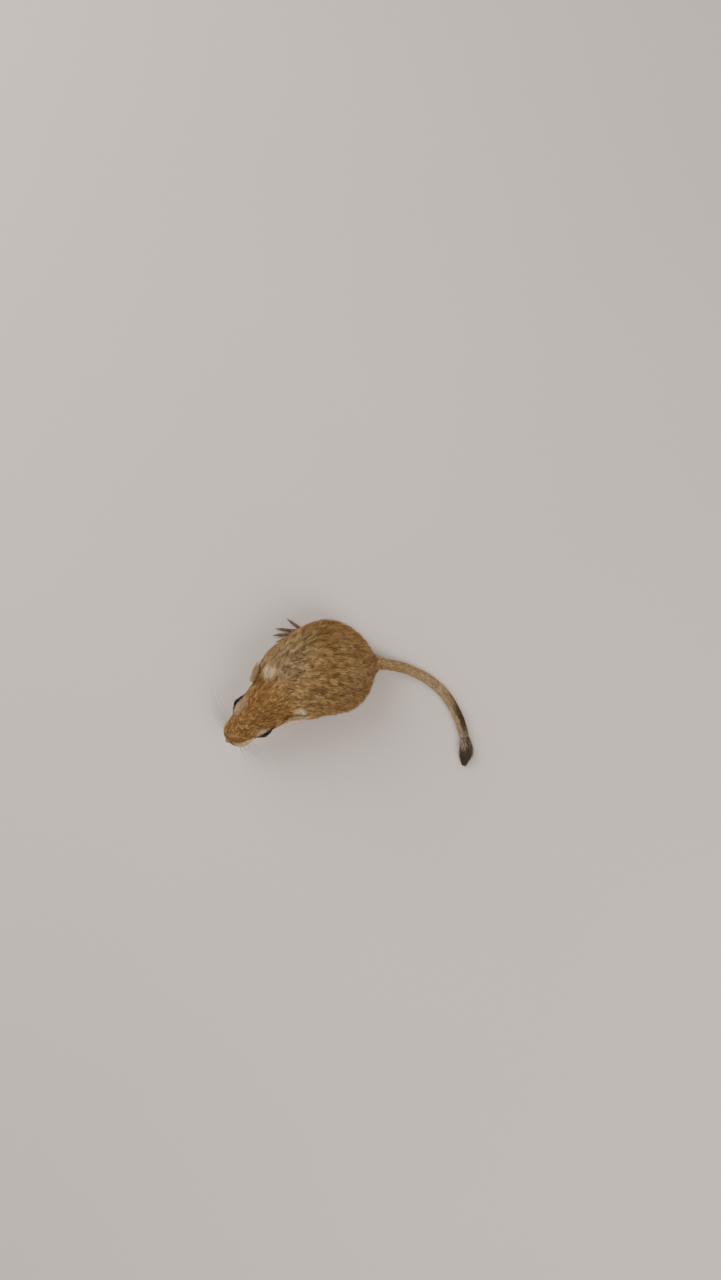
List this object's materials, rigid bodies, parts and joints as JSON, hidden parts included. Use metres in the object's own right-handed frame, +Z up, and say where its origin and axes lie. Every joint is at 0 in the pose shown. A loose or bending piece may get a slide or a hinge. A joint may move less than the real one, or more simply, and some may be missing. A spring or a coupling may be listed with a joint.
{
  "type": "gerbil",
  "caption": "A still, life-size model of a young golden gerbil, crouching with its head turned to its left and its tail curled round beside it.",
  "frame": {"origin": "on the floor, under the middle of the model's outline in plan", "axes": "+Z up, the gerbil faces -Y and its left side is at +X"},
  "size_m": [0.0902, 0.1054, 0.0377],
  "materials": {
    "coat": "matte",
    "pale_coat": "matte",
    "dark_coat": "matte",
    "bare_skin": "satin",
    "eye": "gloss"
  },
  "bodies": {
    "root": {"torso": "coat", "neck": "coat", "head": "coat", "ear_left": "bare_skin", "ear_right": "bare_skin", "eye_left": "eye", "eye_right": "eye", "haunch_left": "coat", "haunch_right": "coat", "foot_hind_left": "pale_coat", "foot_hind_right": "pale_coat", "foreleg_left": "coat", "foreleg_right": "coat", "paw_left": "pale_coat", "paw_right": "pale_coat", "tail_root": "coat", "tail_middle": "coat", "tail_end": "coat", "tail_tuft": "dark_coat"}
  },
  "joints": []
}
